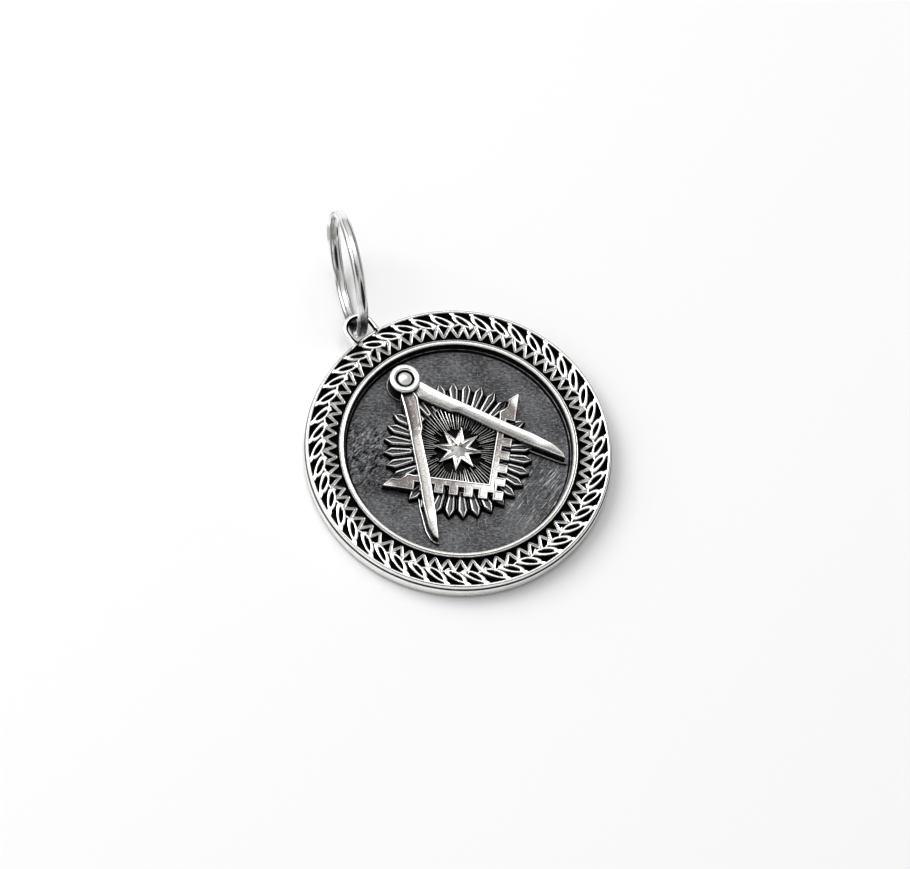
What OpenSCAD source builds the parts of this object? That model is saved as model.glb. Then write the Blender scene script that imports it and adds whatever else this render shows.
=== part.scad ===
// Masonic pendant: a round cast medal in silver with a raised square and
// compasses over a ring of rays, a leaf border, and an upright bail ring.
// Millimetres. The back of the disc lies on z = 0, the front looks up,
// and +Y runs from the middle of the disc toward the bail ring.

/* [Disc] */
// Diameter over the rim's lower band
disc_d = 31.5; // [26:0.5:40]
// Height of the rim over the back
rim_h = 2.2; // [1.8:0.1:3.2]
// Step in from the lower band to the upper band
rim_step = 0.14; // [0.05:0.01:0.4]
// Height of the fine groove between the two bands
groove_z = 1.62; // [1.2:0.02:2]
// Width of the fine groove
groove_w = 0.13; // [0.08:0.01:0.3]
// Radius where the border's channel meets the rim
channel_r = 15.25; // [13:0.05:18]
// Height of the channel's floor over the back
channel_z = 1.3; // [0.8:0.05:1.8]
// Radius of the inner ring's outer wall
ring_r = 12.25; // [10:0.05:14]
// Width of the inner ring
ring_w = 0.58; // [0.3:0.02:1]
// Height of the inner ring over the back
ring_z = 2.15; // [1.8:0.05:3]
// Height of the sunk field over the back
field_z = 0.9; // [0.6:0.05:1.4]

/* [Eye] */
// Half width of the eye's loop, to the middle of its wire
eye_r = 1.45; // [1:0.05:2]
// Thickness of the eye's wire
eye_wire = 0.58; // [0.5:0.02:1]
// Distance from the disc's middle to the top of the loop, to the wire's middle
eye_y = 18.15; // [17:0.05:20]
// Height of the eye's wire over the back, to its middle
eye_z = 1.86; // [1:0.02:2]

/* [Leaf border] */
// How many leaves stand in the outer row
leaves = 46; // [30:1:60]
// Angle of the first leaf's middle
leaf_start = 4.05; // [0:0.05:12]
// Radius of the leaf row's middle line
leaf_r = 14.3; // [13:0.05:15]
// Slant of a leaf from the rim's direction
leaf_slant = 35; // [20:1:60]
// Length of the opening in a leaf
lens_len = 1.5; // [0.8:0.05:2]
// Width of the opening in a leaf
lens_w = 0.42; // [0.2:0.02:0.8]
// How many teeth the inner zigzag has
teeth = 64; // [40:1:80]
// Angle of the first tooth's foot on the inner ring
tooth_start = 2.38; // [0:0.02:6]
// Radius where the zigzag meets the leaf row
zigzag_r = 13.62; // [13:0.02:14]
// Width of the zigzag's wires
zigzag_wire = 0.2; // [0.12:0.01:0.4]
// Height of the border's top over the back
border_z = 2.1; // [1.6:0.05:3]

/* [Sunburst] */
// How many rays the sunburst has
rays = 32; // [16:1:48]
// Radius over the tips of the rays
ray_tip = 7.75; // [6:0.05:9]
// Radius of the notches between the rays
ray_notch = 6.95; // [5:0.05:8]
// Radius where the raised rays begin
ray_inner = 4.7; // [3:0.1:6]
// Width of a raised ray at its shoulder
ray_w = 1.02; // [0.6:0.02:1.4]
// Height of the sunburst's plate over the back
plate_z = 1.35; // [1:0.05:2]
// Height of the raised rays over the back
ray_z = 1.55; // [1:0.05:2.4]

/* [Square] */
// Angle of each arm from level
arm_slope = 43.5; // [40:0.5:45]
// Depth of the outer corner below the disc's middle
corner_y = 7.28; // [5:0.05:9]
// Width of an arm
arm_w = 1.67; // [1:0.01:2.5]
// Distance from the outer corner to the first slot
slot_first = 1.0; // [0.5:0.05:2]
// Distance from one slot to the next
slot_pitch = 1.5; // [1:0.05:2]
// Width of a slot
slot_w = 0.6; // [0.3:0.02:1]
// Depth of a slot
slot_d = 0.88; // [0.4:0.02:1.2]
// How many slots each arm has
slots = 6; // [2:1:8]
// Height of the square over the back
square_z = 1.95; // [1.4:0.05:3]

/* [Compasses] */
// Height of the hinge above the disc's middle
head_y = 9.1; // [7:0.05:10]
// Radius of the round head
head_r = 1.62; // [1:0.02:2]
// Height of the head over the back
head_z = 2.62; // [2:0.02:4]
// Height of the legs over the back
leg_z = 2.45; // [2:0.05:4]
// Height of the raised ring on the head
washer_z = 3.05; // [2.4:0.05:4]
// Radius of the hole in the raised ring
washer_hole = 0.98; // [0.5:0.02:1.4]
// Length of the left leg against the mean leg
left_reach = 0.985; // [0.9:0.005:1.1]
// Length of the right leg against the mean leg
right_reach = 1.015; // [0.9:0.005:1.1]
// Radius of the domed rivet in the head
rivet_r = 0.7; // [0.4:0.02:1]
// Height of the rivet's dome over the back
rivet_z = 3.2; // [2.6:0.05:4]

/* [Centre star] */
// How many points the star has
star_points = 8; // [5:1:12]
// Radius over the star's points
star_tip = 2.55; // [1:0.05:3.5]
// Radius of the star's notches
star_notch = 1.2; // [0.5:0.05:2]
// Height of the star's edge over the back
star_edge_z = 1.75; // [1.4:0.05:3]
// Height of the star's middle over the back
star_z = 2.35; // [1.5:0.05:3.5]

/* [Bail ring] */
// Diameter over the bail ring
bail_d = 13.2; // [8:0.1:20]
// Thickness of the bail's band, in its own radius
bail_t = 0.7; // [0.5:0.05:2]
// Width of the bail's band, along its axis
bail_w = 1.1; // [0.6:0.05:3]
// Turn of the bail ring about the upright
bail_turn = -24; // [-60:1:60]
// Distance from the eye's wire to the ring's middle, along the floor
bail_out = 2.72; // [1:0.02:4]
// Distance from the eye's middle to the place where the bail holds it
bail_shift = 0.15; // [-0.6:0.05:0.6]

/* [Hidden] */
fit = 0.03;
disc_r = disc_d / 2;
upper_r = disc_r - rim_step;
silver = [0.78, 0.78, 0.77];
warm_silver = [0.74, 0.71, 0.68];
dark_silver = [0.36, 0.37, 0.39];
bail_r = bail_d / 2;
bail_x = bail_shift - bail_out * sin(bail_turn);
bail_y = eye_y + bail_out * cos(bail_turn);

// A point given in a turned frame: c runs clockwise, r runs outward
function ringwise(phi, c, r) = [
  r * cos(phi) + c * sin(phi),
  r * sin(phi) - c * cos(phi)
];
// A point of a leaf: s along its length toward its inner end, n across it
function leafwise(phi, s, n) = ringwise(
  phi,
  s * cos(leaf_slant) + n * sin(leaf_slant),
  leaf_r - s * sin(leaf_slant) + n * cos(leaf_slant)
);
function circle_points(r, count, turn) = [
  for (i = [0 : count - 1]) r * [cos(turn + i * 360 / count), sin(turn + i * 360 / count)]
];
function mirrored(points) = [
  for (i = [len(points) - 1 : -1 : 0]) [-points[i][0], points[i][1]]
];

// Outline of the opening in a leaf, as parts of its half length and half width
// columns: along, across
lens_shape = [
  [-1, 0.15],
  [-0.45, 1],
  [0.35, 0.95],
  [1, 0.1],
  [0.5, -1],
  [-0.35, -0.95]
];
function lens(phi) = [
  for (p = lens_shape) leafwise(phi, p[0] * lens_len / 2, p[1] * lens_w / 2)
];
// Outline of the opening between the rim and two leaves
// columns: clockwise from the leaf's middle, radius
corner_shape = [
  [-0.52, 15.1],
  [0.7, 15.1],
  [0.86, 14.86],
  [1.02, 14.5],
  [1.36, 14.12],
  [1.2, 14.0],
  [0.72, 14.42],
  [0.1, 14.82]
];
function corner_gap(phi) = [
  for (p = corner_shape) ringwise(phi, p[0], p[1] + leaf_r - 14.3)
];
tooth_step = 360 / teeth;
half_pitch = PI / teeth;
// Opening between two feet of the zigzag, its wide side on the inner ring
function low_gap(phi) = [
  ringwise(phi, half_pitch * 12.36 - zigzag_wire * 0.62, ring_r + 0.12),
  ringwise(phi, -half_pitch * 12.36 + zigzag_wire * 0.62, ring_r + 0.12),
  ringwise(phi, -0.05, zigzag_r - 0.3),
  ringwise(phi, 0.05, zigzag_r - 0.3)
];
// Opening between two heads of the zigzag, its wide side on the leaf row
function high_gap(phi) = [
  ringwise(phi, 0.05, ring_r + 0.4),
  ringwise(phi, -0.05, ring_r + 0.4),
  ringwise(phi, -half_pitch * 13.6 + zigzag_wire * 0.62, zigzag_r - 0.03),
  ringwise(phi, half_pitch * 13.6 - zigzag_wire * 0.62, zigzag_r - 0.03)
];

// A point of the square: u along an arm from the outer corner, v inward
function armwise(u, v) = [
  u * cos(arm_slope) - v * sin(arm_slope),
  -corner_y + u * sin(arm_slope) + v * cos(arm_slope)
];
arm_inner_u = arm_w * tan(arm_slope);
// Outline of an arm's spear-shaped end
// columns: along the arm, inward
arm_end = [
  [12.3, 0.08],
  [12.22, 0.2],
  [11.4, 1.1],
  [11.05, 1.02],
  [10.55, 1.08],
  [10.2, 1.4],
  [9.9, 1.75],
  [9.3, 1.67]
];
slot_points = [
  for (i = [0 : slots - 1], p = [[0, 0], [0, slot_d], [slot_w, slot_d], [slot_w, 0]])
    armwise(slot_first + i * slot_pitch + p[0], p[1])
];
arm_points = concat(
  [armwise(0, 0)],
  slot_points,
  [for (p = arm_end) armwise(p[0], p[1])]
);
square_points = concat(
  arm_points,
  [armwise(arm_inner_u, arm_w)],
  [for (i = [len(arm_points) - 1 : -1 : 1]) [-arm_points[i][0], arm_points[i][1]]]
);
// Plain band under a leg, where the leg bridges an arm
band = [armwise(3.4, -fit), armwise(9.32, -fit), armwise(9.32, arm_w + fit), armwise(3.4, arm_w + fit)];

// Outline of the compasses' leg, from its hub down the outside and up the inside
// columns: across, up
leg_shape = [
  [0.6, 8.75],
  [1.32, 8.0],
  [2.6, 5.15],
  [4.25, 1.95],
  [5.9, -1.25],
  [6.95, -3.1],
  [8.0, -5.5],
  [8.16, -6.5],
  [8.0, -7.05],
  [7.8, -6.75],
  [6.6, -4.8],
  [5.6, -3.1],
  [4.35, -0.8],
  [2.36, 3.2],
  [1.74, 3.75],
  [0, 6.85]
];
function leg(reach, side) = [
  for (p = leg_shape) [side * p[0] * reach, head_y + (p[1] - head_y) * reach]
];

star_step = 360 / (2 * star_points);
star_top = [0, 0, star_z];
star_tip_point = [star_tip, 0, star_edge_z];
star_notch_point = [star_notch * cos(star_step), star_notch * sin(star_step), star_edge_z];
facet_normal = cross(star_tip_point - star_top, star_notch_point - star_top);
facet_tilt = acos(facet_normal[2] / norm(facet_normal));
facet_turn = atan2(facet_normal[1], facet_normal[0]);
// Plan of one point of the star, with a lap under its two neighbours
star_lap = 0.8 * star_notch * [cos(1.4 * star_step), sin(1.4 * star_step)];
point_plan = [
  [0, 0],
  [star_lap[0], -star_lap[1]],
  [star_notch_point[0], -star_notch_point[1]],
  [star_tip, 0],
  [star_notch_point[0], star_notch_point[1]],
  star_lap
];

module eye() {
  loop_y = eye_y - eye_r;
  translate([0, loop_y, eye_z])
    rotate_extrude(angle = 180, $fn = 64)
      translate([eye_r, 0])
        circle(d = eye_wire, $fn = 32);
  for (side = [-1, 1])
    translate([side * eye_r, upper_r - 0.55, eye_z])
      rotate([-90, 0, 0])
        cylinder(d = eye_wire, h = loop_y - upper_r + 0.55, $fn = 32);
}

module medal_body() {
  color(dark_silver)
    union() {
      rotate_extrude($fn = 180)
        polygon([
          [0, 0],
          [disc_r - 0.22, 0],
          [disc_r, 0.22],
          [disc_r, groove_z - groove_w / 2 - 0.06],
          [disc_r - 0.06, groove_z - groove_w / 2],
          [upper_r - 0.14, groove_z - groove_w / 2],
          [upper_r - 0.14, groove_z + groove_w / 2],
          [upper_r - 0.03, groove_z + groove_w / 2 + 0.04],
          [upper_r - 0.03, rim_h - 0.14],
          [upper_r - 0.13, rim_h - 0.02],
          [upper_r - 0.2, rim_h],
          [channel_r + 0.07, rim_h],
          [channel_r, rim_h - 0.1],
          [channel_r, channel_z],
          [ring_r, channel_z],
          [ring_r, ring_z - 0.12],
          [ring_r - 0.12, ring_z],
          [ring_r - ring_w + 0.16, ring_z],
          [ring_r - ring_w + 0.03, ring_z - 0.14],
          [ring_r - ring_w - 0.06, field_z],
          [0, field_z]
        ]);
      eye();
    }
}

module wreath_border() {
  outlines = concat(
    [circle_points(channel_r - fit, 3 * leaves, leaf_start)],
    [circle_points(ring_r + fit, 2 * teeth, tooth_start)],
    [for (k = [0 : leaves - 1]) lens(leaf_start + k * 360 / leaves)],
    [for (k = [0 : leaves - 1]) corner_gap(leaf_start + k * 360 / leaves)],
    [for (k = [0 : teeth - 1]) low_gap(tooth_start + (k + 0.5) * tooth_step)],
    [for (k = [0 : teeth - 1]) high_gap(tooth_start + k * tooth_step)]
  );
  starts = [for (i = 0, n = 0; i < len(outlines); n = n + len(outlines[i]), i = i + 1) n];
  color(silver)
    translate([0, 0, channel_z + fit])
      linear_extrude(height = border_z - channel_z - fit)
        polygon(
          points = [for (o = outlines, p = o) p],
          paths = [for (i = [0 : len(outlines) - 1]) [for (j = [0 : len(outlines[i]) - 1]) starts[i] + j]]
        );
}

module sunburst() {
  step = 360 / rays;
  base = [
    for (i = [0 : 2 * rays - 1])
      (i % 2 == 0 ? ray_tip : ray_notch) * [cos(i * step / 2), sin(i * step / 2)]
  ];
  inner_w = ray_w * ray_inner / ray_notch;
  color(dark_silver)
    union() {
      translate([0, 0, field_z + fit])
        linear_extrude(height = plate_z - field_z - fit)
          polygon(base);
      for (i = [0 : rays - 1])
        rotate([0, 0, i * step])
          translate([0, 0, plate_z - 0.1])
            linear_extrude(height = ray_z - plate_z + 0.1)
              polygon([
                [ray_inner, -inner_w / 2],
                [ray_notch, -ray_w / 2],
                [ray_tip - 0.09, 0],
                [ray_notch, ray_w / 2],
                [ray_inner, inner_w / 2]
              ]);
    }
}

module square() {
  color(warm_silver)
    difference() {
      translate([0, 0, field_z + fit])
        linear_extrude(height = square_z - field_z - fit)
          polygon(square_points);
      translate([0, 0, field_z - 1])
        cylinder(r = ray_tip + fit, h = ray_z - field_z + 1, $fn = 120);
    }
}

module compasses() {
  color(warm_silver)
    difference() {
      union() {
        for (side = [-1, 1])
          translate([0, 0, field_z + fit])
            linear_extrude(height = leg_z - field_z - fit)
              polygon(leg(side < 0 ? left_reach : right_reach, side));
        translate([0, head_y, field_z + fit])
          cylinder(r = head_r, h = head_z - field_z - fit, $fn = 64);
        translate([0, head_y, head_z - 0.2])
          cylinder(r = head_r - 0.04, h = washer_z - head_z + 0.2, $fn = 64);
      }
      translate([0, head_y, head_z])
        cylinder(r = washer_hole, h = 2, $fn = 64);
      translate([0, 0, field_z - 1])
        cylinder(r = ray_tip + fit, h = ray_z - field_z + 1, $fn = 120);
      translate([0, 0, field_z - 1])
        linear_extrude(height = square_z + fit - field_z + 1)
          polygon(band);
      translate([0, 0, field_z - 1])
        linear_extrude(height = square_z + fit - field_z + 1)
          polygon(mirrored(band));
    }
}

module compass_rivet() {
  color(silver)
    translate([0, head_y, 0])
      rotate_extrude($fn = 64)
        polygon([
          [0, head_z + fit],
          [rivet_r + 0.14, head_z + fit],
          [rivet_r + 0.14, head_z + 0.08],
          [rivet_r, head_z + 0.14],
          [rivet_r * 0.97, rivet_z - 0.26],
          [rivet_r * 0.82, rivet_z - 0.13],
          [rivet_r * 0.52, rivet_z - 0.04],
          [rivet_r * 0.2, rivet_z],
          [0, rivet_z]
        ]);
}

module star_point() {
  difference() {
    translate([0, 0, plate_z + fit])
      linear_extrude(height = star_z - plate_z - fit)
        polygon(point_plan);
    for (side = [-1, 1])
      translate(star_top)
        rotate([0, facet_tilt, side * facet_turn])
          translate([-4, -4, 0])
            cube([8, 8, 4]);
  }
}

module centre_star() {
  color(silver)
    union() {
      for (i = [0 : star_points - 1])
        rotate([0, 0, 90 + 2 * i * star_step])
          star_point();
    }
}

module bail_ring() {
  sides = 14;
  color(silver)
    translate([bail_x, bail_y, bail_r])
      rotate([0, 0, bail_turn])
        rotate([0, 90, 0])
          rotate_extrude($fn = 96)
            polygon([
              for (i = [0 : sides - 1])
                let (t = i * 360 / sides, out = cos(t) > 0 ? 0.55 : 0.45)
                [bail_r - 0.55 * bail_t + out * bail_t * cos(t), bail_w / 2 * sin(t)]
            ]);
}

medal_body();
wreath_border();
sunburst();
square();
compasses();
compass_rivet();
centre_star();
bail_ring();
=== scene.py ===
# %% [markdown]
# # A silver masonic pendant
#
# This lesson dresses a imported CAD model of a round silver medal. The medal is cast, blackened with a
# sulphur bath, and rubbed bright again on everything that stands proud. That last step is what the eye
# reads: black hollows beside bright edges. So most of the work below is fine relief, and materials that
# know which parts of the relief a polishing cloth reaches.
#
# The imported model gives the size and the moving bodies. Each cell makes one piece over it.

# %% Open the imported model
import math

import bmesh
import bpy
from mathutils import Matrix, Vector, noise


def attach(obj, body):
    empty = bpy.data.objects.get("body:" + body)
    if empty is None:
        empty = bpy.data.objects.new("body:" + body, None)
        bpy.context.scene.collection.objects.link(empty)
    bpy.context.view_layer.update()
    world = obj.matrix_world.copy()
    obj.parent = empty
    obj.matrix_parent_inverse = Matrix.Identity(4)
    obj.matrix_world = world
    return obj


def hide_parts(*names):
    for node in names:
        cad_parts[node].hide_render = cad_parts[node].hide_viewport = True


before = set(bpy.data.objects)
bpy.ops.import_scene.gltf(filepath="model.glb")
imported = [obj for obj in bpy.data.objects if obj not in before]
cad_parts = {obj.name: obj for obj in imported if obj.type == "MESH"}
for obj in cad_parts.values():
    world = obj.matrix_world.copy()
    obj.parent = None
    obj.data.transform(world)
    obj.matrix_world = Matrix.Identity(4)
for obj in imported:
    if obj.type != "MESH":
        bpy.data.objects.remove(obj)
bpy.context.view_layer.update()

mm = 0.001

# %% [markdown]
# ## The camera
#
# The medal lies on its back and is seen from above, a little turned and a little rolled, through a long
# lens. The camera is set by where it looks, by its turn and height in degrees, and by how far it stands.
# A long lens from far away keeps the round rim nearly free of perspective, as in a catalogue picture.

# %% Place the camera
aim = Vector((0.563, 1.350, 2.1)) * mm
camera_turn = math.radians(-137.32)
camera_height = math.radians(64.31)
camera_roll = math.radians(10.52)
camera_distance = 451.0 * mm
sensor_mm, focal_mm = 36.0, 175.06
nearest, farthest = 0.01, 20.0

toward_camera = Vector((
    math.cos(camera_height) * math.cos(camera_turn),
    math.cos(camera_height) * math.sin(camera_turn),
    math.sin(camera_height),
))
lens = bpy.data.cameras.new("camera")
lens.sensor_width, lens.lens = sensor_mm, focal_mm
lens.clip_start, lens.clip_end = nearest, farthest
camera = bpy.data.objects.new("camera", lens)
bpy.context.scene.collection.objects.link(camera)
camera.matrix_world = (
    Matrix.Translation(aim + camera_distance * toward_camera)
    @ (-toward_camera).to_track_quat("-Z", "Y").to_matrix().to_4x4()
    @ Matrix.Rotation(camera_roll, 4, "Z")
)
bpy.context.scene.camera = camera
print("Camera at", [round(c / mm, 1) for c in camera.matrix_world.translation], "mm")

# %% [markdown]
# ## One way to make every shape
#
# Nearly every form on a medal is a row of cross-sections: a rim is one section turned round an axis, a
# wire is a section carried along a path, and a leg of the compasses is a section that changes on its way.
# Blender could do these with curves and modifiers, but plain lists of points keep the sizes exact and
# the faces even. A `Shape` collects points in millimetres, and `loft` skins a row of rings.

# %% Collect points and skin rings
class Shape:
    """Points in millimetres, faces, and one finish number for each face."""

    def __init__(self):
        self.points, self.faces, self.finish = [], [], []

    def loft(self, rings, finish=0, closed=False, caps=True):
        """Joins a row of rings, each with the same count of points, by four-sided faces.

        The finish is a number, a list with a number for each span, or a function of span and side.
        """
        def pick(span, side):
            if callable(finish):
                return finish(span, side)
            return finish[span] if isinstance(finish, list) else finish

        size, start = len(rings[0]), len(self.points)
        for ring in rings:
            self.points += [tuple(p) for p in ring]
        for span in range(len(rings) if closed else len(rings) - 1):
            low, high = start + span * size, start + (span + 1) % len(rings) * size
            for side in range(size):
                after = (side + 1) % size
                self.faces.append((low + side, low + after, high + after, high + side))
                self.finish.append(pick(span, side))
        if caps and not closed:
            last = start + (len(rings) - 1) * size
            self.faces.append(tuple(reversed(range(start, start + size))))
            self.faces.append(tuple(range(last, last + size)))
            self.finish += [pick(0, 0), pick(len(rings) - 2, 0)]
        return self


print("A shape holds points, faces and finishes")

# %% [markdown]
# ## From a shape to a piece
#
# Points that touch are welded and the faces are turned outward. Edges steeper than the crease angle stay
# sharp, and the rest is shaded smooth, because a cast edge is crisp and a rubbed one is soft. The piece
# then rides on one of the two bodies, so that it moves with it, and stands in for the CAD solid it covers.

# %% Make a piece from a shape
touching = 0.00002 * mm


def make_piece(name, shape, body, nodes, finishes, crease=38):
    """Turns a Shape into a Blender object that rides on a body and stands for CAD nodes."""
    mesh = bpy.data.meshes.new(name)
    mesh.from_pydata([(x * mm, y * mm, z * mm) for x, y, z in shape.points], [], shape.faces)
    for finish in finishes:
        mesh.materials.append(finish)
    mesh.polygons.foreach_set("material_index", shape.finish)
    work = bmesh.new()
    work.from_mesh(mesh)
    bmesh.ops.remove_doubles(work, verts=work.verts, dist=touching)
    bmesh.ops.recalc_face_normals(work, faces=work.faces)
    work.to_mesh(mesh)
    work.free()
    mesh.shade_smooth()
    mesh.set_sharp_from_angle(angle=math.radians(crease))
    piece = bpy.data.objects.new(name, mesh)
    bpy.context.scene.collection.objects.link(piece)
    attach(piece, body)
    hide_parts(*nodes)
    triangles = sum(len(p.vertices) - 2 for p in mesh.polygons)
    print(f"{name}: {len(mesh.vertices)} points, {triangles} triangles")


# %% [markdown]
# ## Turned and carried forms
#
# `turn_profile` is the lathe: it turns a profile round the upright axis, and `offset` may move single
# points for what no lathe leaves. `carry` takes a section along a path, as a wax wire is laid on the
# model. It can thin the wire with `taper` and lower it with `drop`, but its foot stays where it is.

# %% Define the lathe and the carried section
def turn_profile(shape, profile, finishes, segments, offset=None):
    """Turns a profile of (radius, height) round the upright axis."""
    rings = []
    for number, (radius, height) in enumerate(profile):
        ring = []
        for i in range(segments):
            angle = 2 * math.pi * i / segments
            dr, dz = offset(number, angle) if offset else (0, 0)
            ring.append(((radius + dr) * math.cos(angle), (radius + dr) * math.sin(angle), height + dz))
        rings.append(ring)
    return shape.loft(rings, finishes, caps=False)


def carry(shape, path, width, section, finish=0, taper=None, drop=None):
    """Carries a section of (side, height) along a level path. Side runs from -1 to 1 over the width."""
    foot = min(z for _, z in section)
    rings = []
    for i, (x, y) in enumerate(path):
        before, after = path[max(i - 1, 0)], path[min(i + 1, len(path) - 1)]
        along = Vector((after[0] - before[0], after[1] - before[1])).normalized()
        half = width / 2 * (taper[i] if taper else 1)
        low = drop[i] if drop else 0
        rings.append([(x - along.y * s * half, y + along.x * s * half, max(foot, z - low))
                      for s, z in section])
    return shape.loft(rings, finish)


print("The lathe and the carried section are ready")

# %% [markdown]
# ## Terraced forms
#
# `terrace` raises an outline in steps, each a little further in, which gives the bevels and fine edge
# lines that a punch leaves. `inset` is the part that needs care: it moves every side of an outline by
# the same distance, so that corners stay corners. At a very sharp corner or a very short side it holds
# back, because the outline would cross itself there.

# %% Define the inset and the terrace
sharp_limit, side_share = 0.35, 0.9


def inset(outline, distance):
    """Moves every side of a counter-clockwise outline inward by one distance."""
    moved = []
    for i, (x, y) in enumerate(outline):
        before, after = outline[i - 1], outline[(i + 1) % len(outline)]
        a = Vector((x - before[0], y - before[1])).normalized()
        b = Vector((after[0] - x, after[1] - y)).normalized()
        na, nb = Vector((-a.y, a.x)), Vector((-b.y, b.x))
        step = (na + nb) * distance / max(sharp_limit, 1 + na.dot(nb))
        room = side_share * min(math.dist(outline[i], before), math.dist(outline[i], after))
        if step.length > room:
            step *= room / step.length
        moved.append((x + step.x, y + step.y))
    return moved


def terrace(shape, outline, steps, finish=0):
    """Raises an outline through steps of (inset, height)."""
    rings = [[(x, y, z) for x, y in inset(outline, d)] for d, z in steps]
    return shape.loft(rings, finish)


print("The terrace is ready")

# %% [markdown]
# ## Helpers for wires and for places on the medal
#
# A wire has upright sides and an arched back. Its path is drawn with few points, and cutting the corners
# of a path twice makes it run smoothly. On a round medal a place is easiest to give beside a spoke: so
# far out along it, and so far to its side.

# %% Define the wire's section, the smooth path and a place beside a spoke
def rounded(foot, top, edge, count):
    """A section for a wire with a round back: upright sides and an arched top."""
    arch = [(-math.cos(math.pi * i / count), top - edge + edge * math.sin(math.pi * i / count))
            for i in range(count + 1)]
    return [(-1, foot)] + arch + [(1, foot)]


def smooth_path(points):
    """Cuts the corners of a path twice. Its two ends stay where they are."""
    for _ in range(2):
        cut = []
        for a, b in zip(points, points[1:]):
            for share in (0.75, 0.25):
                cut.append(tuple(share * p + (1 - share) * q for p, q in zip(a, b)))
        points = [points[0]] + cut[1:-1] + [points[-1]]
    return points


def ringwise(angle, across, radius):
    """A point beside a spoke: across runs clockwise, radius outward. The angle is in degrees."""
    c, s = math.cos(math.radians(angle)), math.sin(math.radians(angle))
    return (radius * c + across * s, radius * s - across * c)


print("Wires can be laid")

# %% [markdown]
# ## Silver as a material
#
# Real silver is nearly white and mirrors its surroundings, so it needs something to mirror and fine
# marks that break the mirror up. Each finish below starts from the same few steps. Coordinates are the
# piece's own, in millimetres, so the grain keeps its size. The height of the surface decides how much of
# the black sulphide was rubbed off. Noise then makes the edge of that rub uneven.
#
# A material in Blender is a graph of nodes. `Finish` adds a node in one call and links what it is given,
# so that a finish reads as a list of steps instead of a list of links.

# %% Start a material and add nodes to it
class Finish:
    """A material being made, with short calls for the nodes that every finish needs."""

    whole_within = 0.45

    def __init__(self, name):
        self.material = bpy.data.materials.new(name)
        self.material.use_nodes = True
        self.tree = self.material.node_tree
        self.shader = next(n for n in self.tree.nodes if n.type == "BSDF_PRINCIPLED")
        place = self.add("TexCoord")
        self.normal = place.outputs["Normal"]
        scale = self.add("VectorMath", {"Vector": place.outputs["Object"], "Scale": 1 / mm},
                         operation="SCALE")
        self.place = scale.outputs["Vector"]
        split = self.add("SeparateXYZ", {"Vector": self.place})
        self.x, self.y, self.height = split.outputs

    def add(self, kind, values=None, **settings):
        """Adds a node and fills its sockets."""
        node = self.tree.nodes.new("ShaderNode" + kind)
        for key, value in settings.items():
            setattr(node, key, value)
        for key, value in (values or {}).items():
            self.feed(node.inputs[key], value)
        return node

    def feed(self, socket, value):
        """Links a socket to another node's output, or sets it to a plain value."""
        if isinstance(value, bpy.types.NodeSocket):
            self.tree.links.new(value, socket)
        else:
            socket.default_value = value

    def calc(self, operation, a, b=0.5, c=0.5):
        """One step of arithmetic on numbers."""
        return self.add("Math", {0: a, 1: b, 2: c}, operation=operation).outputs[0]

    def ramp(self, value, low, high, start=0.0, end=1.0, kind="SMOOTHSTEP"):
        """Takes a value from start to end as it goes from low to high."""
        node = self.add("MapRange", {"Value": value, "From Min": low, "From Max": high,
                                     "To Min": start, "To Max": end}, interpolation_type=kind)
        return node.outputs["Result"]

    def grain(self, per_mm, detail=3.0, stretch=(1, 1, 1), turn=0.0, roughness=0.55, shift=0.0):
        """Noise with a number of patches per millimetre, drawn out along one direction if asked."""
        turned = self.add("Mapping", {"Vector": self.place, "Rotation": (0, 0, math.radians(turn)),
                                      "Location": (shift, shift, shift)})
        drawn = self.add("VectorMath", {0: turned.outputs["Vector"], 1: stretch}, operation="MULTIPLY")
        node = self.add("TexNoise", {"Vector": drawn.outputs["Vector"], "Scale": per_mm, "Detail": detail,
                                     "Roughness": roughness})
        return node.outputs["Fac"]

    def near(self, x, y, z, radius):
        """One round a place, as far as whole_within of the radius, and nothing beyond the radius."""
        away = self.add("VectorMath", {0: self.place, 1: (x, y, z)}, operation="DISTANCE")
        return self.ramp(away.outputs["Value"], radius, self.whole_within * radius)

    def blend(self, share, a, b):
        """Mixes two colours."""
        node = self.add("Mix", data_type="RGBA", blend_type="MIX")
        for socket, value in ((node.inputs[0], share), (node.inputs[6], a), (node.inputs[7], b)):
            self.feed(socket, (*value, 1) if isinstance(value, tuple) else value)
        return node.outputs[2]

    def relief(self, height, depth_mm, under=None):
        """Bump whose full height is a depth in millimetres."""
        values = {"Height": height, "Distance": depth_mm * mm, "Strength": 1.0}
        if under:
            values["Normal"] = under
        return self.add("Bump", values).outputs["Normal"]

    def done(self, colour, roughness, normal=None, metallic=1.0):
        """Feeds the shader and hands the material over."""
        self.feed(self.shader.inputs["Base Color"], (*colour, 1) if isinstance(colour, tuple) else colour)
        self.feed(self.shader.inputs["Roughness"], roughness)
        self.feed(self.shader.inputs["Metallic"], metallic)
        if normal:
            self.feed(self.shader.inputs["Normal"], normal)
        return self.material


silver_white = (0.93, 0.925, 0.91)
sulphide = (0.006, 0.006, 0.007)
print("Silver reflects", silver_white, "and the sulphide", sulphide)

# %% [markdown]
# ## Polished silver with blackened hollows
#
# This is the finish of the rim, the rings, the border's wires and the small parts. The polish is not
# perfect: a cast and rubbed surface has hairline scratches from the cloth, a faint orange-peel from the
# casting, and small pits where black stays. `worn_silver` takes the two heights between which the black
# gives way to bright metal. The last values say how brown the metal has gone, how deep the hairlines
# are in millimetres, and how black the pits are.

# %% Make worn silver
brown_cast = (0.62, 0.58, 0.53)


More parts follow.
